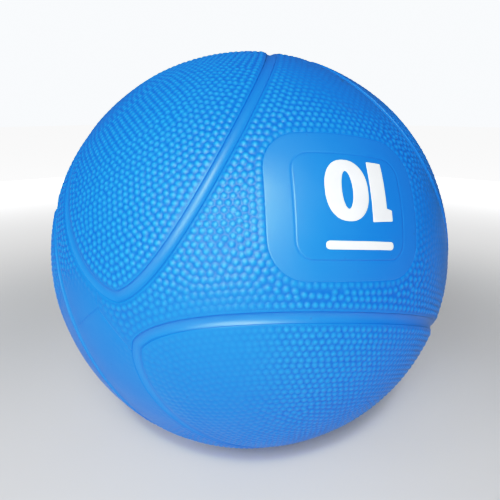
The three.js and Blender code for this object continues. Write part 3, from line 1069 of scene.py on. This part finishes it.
def white_print():
    nodes = Nodes("white_print_ink")
    tone = nodes.spread(nodes.noise(60, 4, 0.6), 0.35, 0.7)
    base = nodes.mixed(tone, (0.82, 0.88, 0.93), (0.90, 0.94, 0.97))
    chips = nodes.spread(nodes.noise(420, 3, 0.7), 0.74, 0.8, 0, 0.7)
    nodes.colour(nodes.mixed(chips, base, AZURE_HIGHLIGHT_AND_CHIP))
    nodes.roughness(nodes.spread(nodes.noise(90, 3), 0.3, 0.7, 0.34, 0.5))
    nodes.bump(nodes.noise(1500, 2), 0.15, 0.0001)
    return nodes.material


def plain_rubber(name, dark, light, rough_low, rough_high, grain_scale):
    """Black or grey rubber for the valve and the layers inside."""
    nodes = Nodes(name)
    nodes.colour(nodes.mixed(nodes.spread(nodes.noise(70, 4, 0.6), 0.35, 0.7), dark, light))
    nodes.roughness(nodes.spread(nodes.noise(110, 3), 0.3, 0.7, rough_low, rough_high))
    nodes.bump(nodes.noise(grain_scale, 3, 0.6), 0.35, 0.0003)
    return nodes.material


def wound_nylon():
    """Layers of thread wound round the bladder in crossing bands."""
    nodes = Nodes("wound_nylon_thread")
    bands = []
    for axis, turn in (("X", 0.5), ("Y", 1.1), ("Z", 2.0)):
        wave = nodes.add("ShaderNodeTexWave", bands_direction=axis)
        wave.inputs["Scale"].default_value = 170
        wave.inputs["Distortion"].default_value = turn
        nodes.join(nodes.place, wave.inputs["Vector"])
        bands.append(wave.outputs["Fac"])
    threads = nodes.sums("MAXIMUM", nodes.sums("MAXIMUM", bands[0], bands[1]), bands[2])
    nodes.colour(nodes.mixed(threads, (0.42, 0.39, 0.31), (0.72, 0.69, 0.60)))
    nodes.roughness(nodes.spread(threads, 0, 1, 0.9, 0.7))
    nodes.bump(threads, 0.6, 0.0004)
    return nodes.material


# --- The ball ---


def build_ball():
    pebbled = azure_rubber("azure_pebbled_rubber", 0.25, 0.38, 0.46, pebbled=True)
    smooth = azure_rubber("azure_smooth_rubber", 0.25, 0.42, 0.50)
    film = azure_rubber("azure_label_film", 0.15, 0.38, 0.44)
    print_ink = white_print()
    black = plain_rubber("black_valve_rubber", (0.008, 0.008, 0.009), (0.02, 0.02, 0.022), 0.4, 0.6, 1800)
    for name in OVALS:
        oval_panel(name, pebbled)
        groove_strip(name, smooth)
    centres = field_pebbles()
    for name in FIELDS:
        field_panel(name, centres, pebbled)
    label_patch(smooth)
    label_plate(film)
    label_print(print_ink)
    valve(black)
    inner = {
        "weighted_carcass": plain_rubber(
            "carcass_rubber", (0.012, 0.013, 0.014), (0.04, 0.04, 0.042), 0.7, 0.9, 700
        ),
        "nylon_winding": wound_nylon(),
        "butyl_bladder": plain_rubber(
            "butyl_rubber", (0.006, 0.006, 0.007), (0.016, 0.016, 0.017), 0.5, 0.65, 1200
        ),
    }
    for node, material in inner.items():
        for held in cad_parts[node].material_slots:
            held.material = material


# --- Studio ---


def aimed(thing, place, target):
    thing.location = place
    thing.rotation_mode = "QUATERNION"
    thing.rotation_quaternion = (Vector(target) - Vector(place)).to_track_quat("-Z", "Y")


def camera_place(right, up, towards):
    """A place given from where the camera stands: to its right, up, and from the ball towards it."""
    back = direction(CAMERA_AZIMUTH, CAMERA_ELEVATION)
    level = unit(np.cross((0, 0, 1), back))
    upright = np.cross(back, level)
    return Vector(level * right + upright * up + back * towards)


def soft_light(name, place, width, height, power, colour=(1, 1, 1)):
    data = bpy.data.lights.new(name, "AREA")
    data.shape = "RECTANGLE"
    data.size, data.size_y = width, height
    data.energy = power
    data.color = colour
    light = bpy.data.objects.new(name, data)
    bpy.context.scene.collection.objects.link(light)
    aimed(light, place, (0, 0, 0))
    return light


def picture_response():
    view = bpy.context.scene.view_settings
    view.view_transform = "Standard"
    view.use_curve_mapping = True
    response = view.curve_mapping
    response.white_level = (WHITE_LEVEL,) * 3
    curve = response.curves[3]
    curve.points[0].location = (0, 0)
    curve.points[1].location = (1, 1)
    for light, shown in RESPONSE:
        curve.points.new(light / WHITE_LEVEL, shown)
    response.update()


def pale_floor():
    """A matt floor that seems to run on into a white backdrop."""
    low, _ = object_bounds()
    bpy.ops.mesh.primitive_grid_add(x_subdivisions=8, y_subdivisions=8, size=12, location=(0, 0, low.z))
    floor = bpy.context.object
    floor.name = "pale_floor"
    nodes = Nodes("pale_floor_paint")
    nodes.colour(nodes.mixed(nodes.noise(3, 3), (0.62, 0.63, 0.64), (0.65, 0.65, 0.65)))
    away = nodes.add("ShaderNodeVectorMath", operation="LENGTH")
    nodes.join(nodes.place, away.inputs[0])
    glow = nodes.spread(away.outputs["Value"], 0.2, 1.2, 0, 1.3)
    seen = nodes.add("ShaderNodeLightPath").outputs["Is Camera Ray"]
    nodes.join(nodes.sums("MULTIPLY", glow, seen), nodes.shader.inputs["Emission Strength"])
    nodes.shader.inputs["Emission Color"].default_value = (1, 1, 1, 1)
    nodes.roughness(nodes.spread(nodes.noise(9, 3), 0.3, 0.7, 0.75, 0.9))
    floor.data.materials.append(nodes.material)
    floor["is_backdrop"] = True


def pale_world():
    """Faint light from all round, which looks bright where the camera sees it."""
    world = bpy.data.worlds.new("pale_studio")
    world.use_nodes = True
    bpy.context.scene.world = world
    tree = world.node_tree
    back = tree.nodes["Background"]
    back.inputs["Color"].default_value = (0.94, 0.97, 1, 1)
    seen = tree.nodes.new("ShaderNodeLightPath").outputs["Is Camera Ray"]
    strength = tree.nodes.new("ShaderNodeMapRange")
    tree.links.new(seen, strength.inputs["Value"])
    strength.inputs["To Min"].default_value = AMBIENT
    strength.inputs["To Max"].default_value = BACKDROP
    tree.links.new(strength.outputs["Result"], back.inputs["Strength"])


def studio_lights():
    soft_light("key", camera_place(0.02, 0.5, 1.1), 0.4, 0.32, 6.2)
    soft_light("lamp", camera_place(-0.04, 0.52, 1.1), 0.09, 0.09, 4)
    soft_light("window", camera_place(-0.75, 0.5, 0.9), 0.4, 0.5, 1.5, (0.88, 0.96, 1))
    soft_light("front_fill", camera_place(-0.12, 0.03, 0.52), 0.22, 0.22, 1.9)
    for name, place in (("back_left", (-0.75, 0.35, -1.0)), ("back_right", (0.8, 0.35, -0.95))):
        soft_light(name, camera_place(*place), 0.7, 0.7, 6).visible_glossy = False


def make_camera():
    data = bpy.data.cameras.new("camera")
    data.sensor_width = SENSOR_WIDTH
    reach = CAMERA_DISTANCE / BALL_RADIUS
    half_angle_tangent = 1 / math.sqrt(reach**2 - 1) / BALL_SHARE_OF_FRAME
    data.lens = SENSOR_WIDTH / 2 / half_angle_tangent
    data.clip_start, data.clip_end = 0.01, 50
    camera = bpy.data.objects.new("camera", data)
    bpy.context.scene.collection.objects.link(camera)
    aimed(camera, direction(CAMERA_AZIMUTH, CAMERA_ELEVATION) * CAMERA_DISTANCE * MM, (0, 0, 0))
    bpy.context.scene.camera = camera


make_camera()
build_ball()
picture_response()
pale_floor()
pale_world()
studio_lights()
